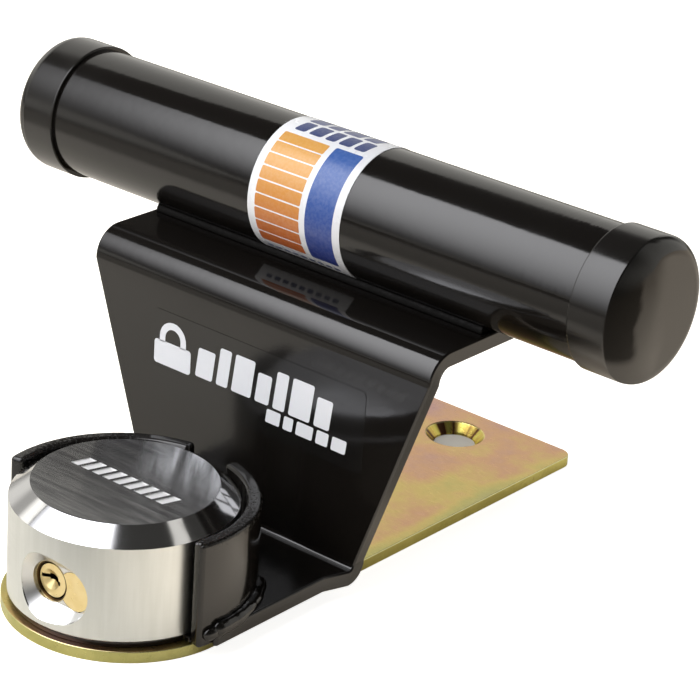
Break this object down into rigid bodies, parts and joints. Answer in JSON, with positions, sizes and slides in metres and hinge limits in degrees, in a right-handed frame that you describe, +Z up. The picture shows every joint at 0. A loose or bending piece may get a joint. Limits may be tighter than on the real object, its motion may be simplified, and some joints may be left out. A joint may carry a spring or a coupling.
{
  "type": "floor-mounted garage door lock",
  "caption": "Floor-mounted door blocker: bolted base plate, lift-off bent arm with a cross tube and end caps, and a round hidden-shackle padlock held in a curved guard.",
  "frame": {"origin": "on the base plate's underside, directly below the round padlock's axis", "axes": "+X along the cross tube, to the right as seen from the keyway side; +Y from the padlock towards the door; +Z up from the floor"},
  "size_m": [0.2566, 0.2295, 0.1379],
  "materials": {
    "yellow_zinc": "yellow-passivated zinc, satin, faint iridescence",
    "bare_steel": "machined, satin",
    "black_enamel": "glossy black enamel with slight orange peel",
    "black_cap": "moulded black vinyl, semi-gloss",
    "printed_label": "printed vinyl, glossy",
    "clear_film": "clear film with a white print, glossy",
    "lock_steel": "satin side, polished bevel, brushed top",
    "screw_steel": "zinc plated",
    "brass": "satin brass",
    "nickel": "nickel plated",
    "spring_steel": "bright wire"
  },
  "bodies": {
    "base": {"base_plate": "yellow_zinc", "staple": "yellow_zinc", "staple_weld": "yellow_zinc"},
    "arm": {"arm_plate": "black_enamel", "guard_left": "black_enamel", "guard_right": "black_enamel", "guard_welds": "black_enamel", "floor_plate": "black_enamel", "handle_tube": "black_enamel", "tube_welds": "black_enamel", "end_cap_left": "black_cap", "end_cap_right": "black_cap", "tube_label": "printed_label", "riser_label": "clear_film"},
    "padlock": {"lock_body": "lock_steel", "bottom_cover": "bare_steel", "cover_screws": "screw_steel", "cylinder_shell": "brass", "cylinder_screw": "screw_steel", "driver_pins": "nickel", "pin_springs": "spring_steel", "chamber_plugs": "brass"},
    "key_plug": {"plug": "brass", "key_pins": "brass", "plug_clip": "screw_steel", "drive_pinion": "bare_steel", "pinion_screw": "screw_steel"},
    "sliding_bolt": {"rack_carriage": "brass", "locking_bolt": "bare_steel"}
  },
  "joints": [
    {"name": "arm_lift", "type": "slide", "parent": "base", "child": "arm", "axis": [0, 0, 1], "range_m": [0, 0.05]},
    {"name": "padlock_lift", "type": "slide", "parent": "arm", "child": "padlock", "axis": [0, 0, 1], "range_m": [0, 0.06]},
    {"name": "key_turn", "type": "hinge", "parent": "padlock", "child": "key_plug", "pos_m": [0, -0.022, 0.0196], "axis": [0, -1, 0], "range_deg": [0, 180]},
    {"name": "bolt_slide", "type": "slide", "parent": "padlock", "child": "sliding_bolt", "axis": [1, 0, 0], "range_m": [0, 0.0157]}
  ],
  "couplings": [
    {"joint": "key_turn", "follows": "bolt_slide", "rad_per_m": 200}
  ]
}
